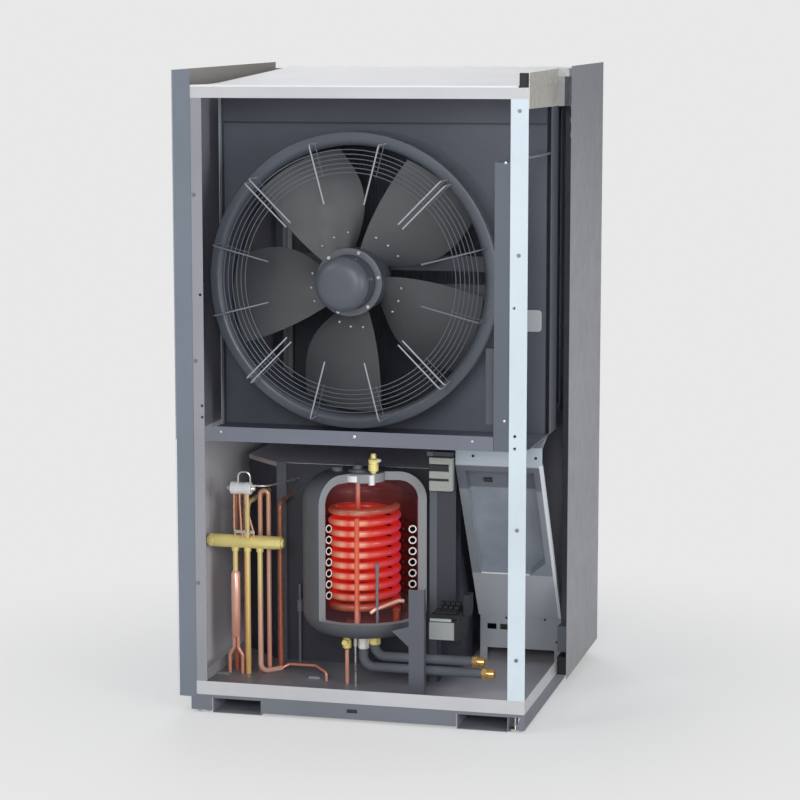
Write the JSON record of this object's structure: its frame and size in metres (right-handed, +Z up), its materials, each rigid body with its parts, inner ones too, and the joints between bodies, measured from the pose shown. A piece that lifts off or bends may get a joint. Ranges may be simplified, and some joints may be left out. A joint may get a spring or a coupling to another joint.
{
  "type": "air-to-water heat pump",
  "caption": "Air-to-water heat pump with its front open: axial fan in a nozzle above, cut-open coil tank, reversing valve and leaning electrics console below, on a plinth with fork pockets.",
  "frame": {"origin": "on the floor at the middle of the machine's footprint", "axes": "+Z up, the open front with the fan faces -Y, +X to the right seen from the front"},
  "size_m": [0.968, 0.9116, 1.708],
  "materials": {
    "frame_metal": "satin coated sheet",
    "rail_paint": "light grey powder coat",
    "panel_paint": "blue-grey powder coat",
    "roof_paint": "near-white powder coat",
    "plinth_paint": "blue-grey powder coat",
    "galvanised": "galvanised sheet",
    "dark_sheet": "dark slate coat",
    "black_plastic": "matt moulding",
    "ring_grey": "dark grey coat",
    "wire_grey": "grey coated wire",
    "fan_plastic": "dark grey sheet blades",
    "motor_grey": "grey enamel",
    "bolt_steel": "zinc plated",
    "fin_aluminium": "plain fins",
    "copper": "plain copper tube",
    "brass": "turned brass",
    "pilot_white": "pale coil casing",
    "shell_grey": "satin dark grey jacket",
    "liner_red": "heated steel",
    "hot_copper": "red hot-gas coil",
    "pipe_foam": "grey insulated pipe",
    "device_plastic": "greenish grey moulding",
    "console_paint": "mid grey powder coat",
    "tray_paint": "grey coat"
  },
  "bodies": {
    "housing": {"plinth_frame": "plinth_paint", "levelling_feet": "bolt_steel", "bottom_frame": "rail_paint", "top_frame": "rail_paint", "floor_pan": "dark_sheet", "front_left_post": "rail_paint", "front_right_post": "frame_metal", "rear_posts": "rail_paint", "middle_right_post": "panel_paint", "cross_rod": "bolt_steel", "frame_screws": "bolt_steel", "roof_panel": "roof_paint", "left_side_panel": "panel_paint", "right_rear_panel": "panel_paint", "side_spacers": "black_plastic", "right_fascia": "galvanised", "rear_grille": "wire_grey", "rear_service_panel": "panel_paint", "middle_shelf": "dark_sheet", "fan_bulkhead": "dark_sheet", "bulkhead_header": "dark_sheet", "wall_tab": "rail_paint", "cable_duct": "panel_paint", "junction_box": "ring_grey", "nozzle_ring": "ring_grey", "fan_guard": "wire_grey", "motor_stator": "motor_grey", "motor_bracket": "galvanised", "evaporator_coil": "fin_aluminium", "return_bends": "copper", "compressor_enclosure": "dark_sheet", "enclosure_trim": "panel_paint", "reversing_valve": "brass", "valve_pipes": "copper", "branch_pipe": "copper", "loop_pipes": "copper", "pilot_valve": "pilot_white", "liquid_pipe": "copper", "sensor_rods": "wire_grey", "floor_clips": "bolt_steel", "tank_shell": "shell_grey", "tank_liner": "liner_red", "inner_coil": "hot_copper", "outer_coil": "copper", "riser_tubes": "copper", "air_vent": "brass", "drain_valve": "brass", "water_pipes": "pipe_foam", "water_unions": "brass", "front_upright": "console_paint", "device_post": "galvanised", "contactor": "device_plastic", "soft_starter": "device_plastic", "electrics_console": "console_paint", "console_tray": "tray_paint", "console_bracket": "console_paint"},
    "fan_rotor": {"fan_hub": "ring_grey", "fan_blades": "fan_plastic", "motor_rotor": "motor_grey", "hub_bolts": "bolt_steel"}
  },
  "joints": [
    {"name": "fan_spin", "type": "hinge", "parent": "housing", "child": "fan_rotor", "pos_m": [-0.045, -0.251, 1.143], "axis": [0, -1, 0], "continuous": true}
  ]
}
